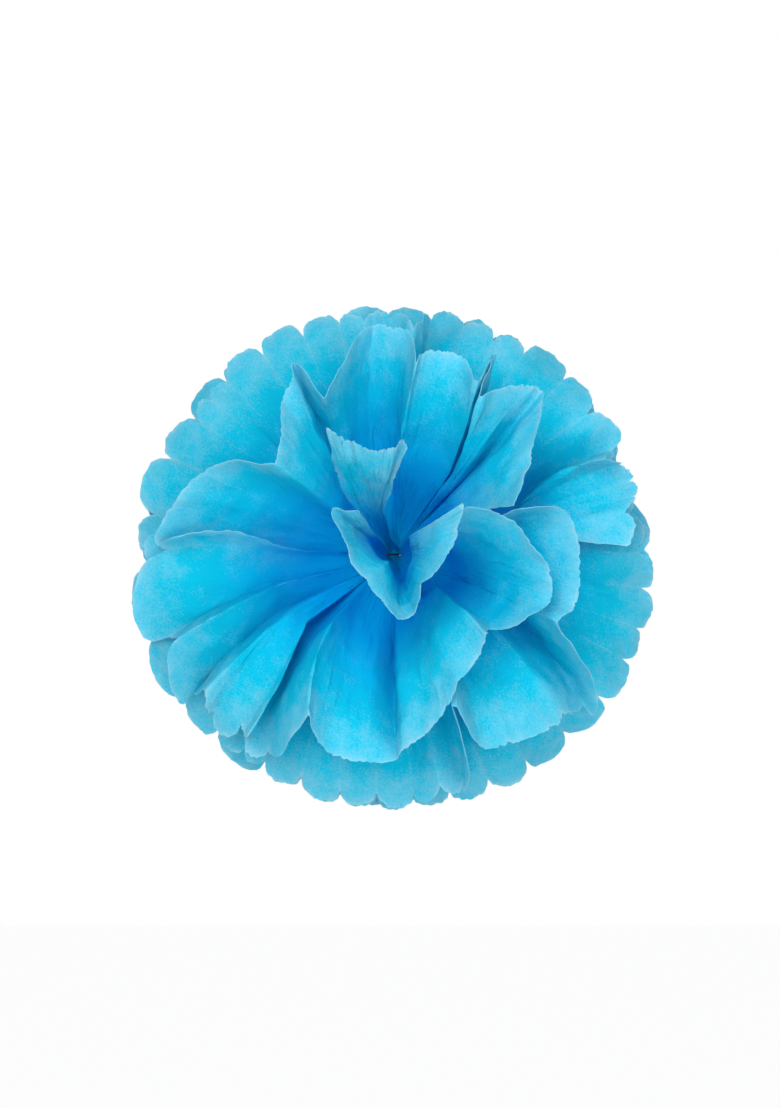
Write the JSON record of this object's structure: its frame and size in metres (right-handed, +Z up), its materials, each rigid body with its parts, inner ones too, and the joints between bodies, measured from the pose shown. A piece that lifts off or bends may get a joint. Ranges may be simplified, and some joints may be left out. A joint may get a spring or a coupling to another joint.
{
  "type": "tissue paper pom pom",
  "caption": "Hand-fluffed ball of tissue paper petals: a stack of sheets folded like a fan, tied round the middle with wire and pulled open, with scalloped rims.",
  "frame": {"origin": "the middle of the wire tie, which is the centre of the ball and the point it hangs from", "axes": "+Z is up as the ball is seen in the picture, -Y is the front with the first petals, and the folded stack of sheets lay along Z with its thickness along Y"},
  "size_m": [0.2557, 0.2453, 0.2479],
  "materials": {
    "tissue_paper": "matte",
    "wire": "satin"
  },
  "bodies": {
    "root": {"sheet_1": "tissue_paper", "sheet_2": "tissue_paper", "sheet_3": "tissue_paper", "sheet_4": "tissue_paper", "sheet_5": "tissue_paper", "sheet_6": "tissue_paper", "sheet_7": "tissue_paper", "sheet_8": "tissue_paper", "tie_wire": "wire"}
  },
  "joints": []
}
